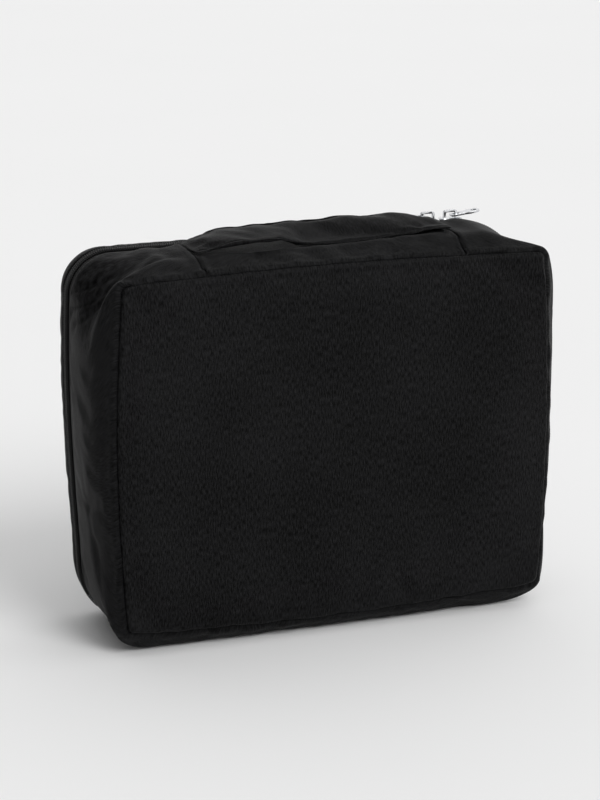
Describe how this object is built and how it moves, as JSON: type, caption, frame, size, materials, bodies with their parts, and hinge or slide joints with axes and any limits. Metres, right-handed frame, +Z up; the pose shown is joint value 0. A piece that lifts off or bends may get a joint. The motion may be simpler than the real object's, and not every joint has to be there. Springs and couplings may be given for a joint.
{
  "type": "hanging toiletry bag",
  "caption": "Padded black fabric toiletry bag standing upright, with a zip-around fold-down lid, a wide top carry handle and a hanging hook stowed inside.",
  "frame": {"origin": "floor level under the middle of the bag's bounding box", "axes": "+Z up; +X along the width, to the right when looking at the plain front panel; +Y from the front panel to the lid"},
  "size_m": [0.2738, 0.0862, 0.2226],
  "materials": {
    "shell": "fine black woven nylon, faint sheen",
    "lining": "smooth dark grey lining cloth",
    "mesh": "dark knitted mesh",
    "label": "plain white woven tape",
    "foam": "thin grey foam padding",
    "tape": "ribbed black polyester tape",
    "coil": "black nylon coil",
    "steel": "bright nickel plate",
    "plastic": "moulded black acetal",
    "rubber": "dipped black rubber"
  },
  "bodies": {
    "main": {"front_panel": "shell", "front_foam": "foam", "front_lining": "lining", "gusset_left": "shell", "gusset_lining_left": "lining", "gusset_top": "shell", "gusset_lining_top": "lining", "gusset_right": "shell", "gusset_lining_right": "lining", "gusset_bottom": "shell", "gusset_lining_bottom": "lining", "front_seam_binding": "tape", "mouth_binding": "tape", "zip_tape_main": "tape", "zip_coil_main": "coil", "hinge_strip": "tape", "front_pocket": "lining", "front_pocket_elastic": "tape", "care_label": "label", "hook_tab": "tape"},
    "lid": {"lid_panel": "shell", "lid_foam": "foam", "lid_lining": "lining", "lid_gusset": "shell", "lid_gusset_lining": "lining", "lid_hinge_hem": "shell", "lid_seam_binding": "tape", "zip_tape_lid": "tape", "zip_coil_lid": "coil", "lid_mesh_pocket": "mesh", "lid_pocket_band": "shell", "pocket_zip_tape_lower": "tape", "pocket_zip_tape_upper": "tape", "pocket_zip_coil_lower": "coil", "pocket_zip_coil_upper": "coil"},
    "left_slider": {"slider_left": "steel"},
    "left_pull": {"pull_left": "steel"},
    "right_slider": {"slider_right": "steel"},
    "right_pull": {"pull_right": "steel"},
    "handle": {"carry_handle": "shell"},
    "hook_block": {"hook_base": "plastic"},
    "hook": {"hook_wire": "steel", "hook_tip": "rubber"},
    "pocket_slider_body": {"pocket_slider": "steel"},
    "pocket_pull_body": {"pocket_pull": "steel"}
  },
  "joints": [
    {"name": "lid_hinge", "type": "hinge", "parent": "main", "child": "lid", "pos_m": [0, 0.02, -0.0005], "axis": [-1, 0, 0], "range_deg": [0, 180]},
    {"name": "slider_left_travel", "type": "slide", "parent": "main", "child": "left_slider", "axis": [-1, 0, 0], "range_m": [0, 0.174]},
    {"name": "pull_left_swing", "type": "hinge", "parent": "left_slider", "child": "left_pull", "pos_m": [0.076, 0.02, 0.21785], "axis": [0, 1, 0], "range_deg": [0, 100]},
    {"name": "slider_right_travel", "type": "slide", "parent": "main", "child": "right_slider", "axis": [1, 0, 0], "range_m": [0, 0.006]},
    {"name": "pull_right_swing", "type": "hinge", "parent": "right_slider", "child": "right_pull", "pos_m": [0.092, 0.02, 0.21785], "axis": [0, -1, 0], "range_deg": [0, 100]},
    {"name": "handle_lift", "type": "slide", "parent": "main", "child": "handle", "axis": [0, 0, 1], "range_m": [0, 0.014]},
    {"name": "hook_swing", "type": "hinge", "parent": "main", "child": "hook_block", "pos_m": [0, 0.0235, 0.206], "axis": [1, 0, 0], "range_deg": [0, 205]},
    {"name": "hook_swivel", "type": "hinge", "parent": "hook_block", "child": "hook", "pos_m": [0, 0.0235, 0.206], "axis": [0, 0.4067, 0.9135], "continuous": true},
    {"name": "pocket_slider_travel", "type": "slide", "parent": "lid", "child": "pocket_slider_body", "axis": [1, 0, 0], "range_m": [0, 0.19]},
    {"name": "pocket_pull_swing", "type": "hinge", "parent": "pocket_slider_body", "child": "pocket_pull_body", "pos_m": [-0.09575, 0.02634, 0.178], "axis": [0, 0, 1], "range_deg": [0, 100]}
  ],
  "couplings": [
    {"joint": "hook_swing", "follows": "lid_hinge", "ratio": 1.1387}
  ]
}
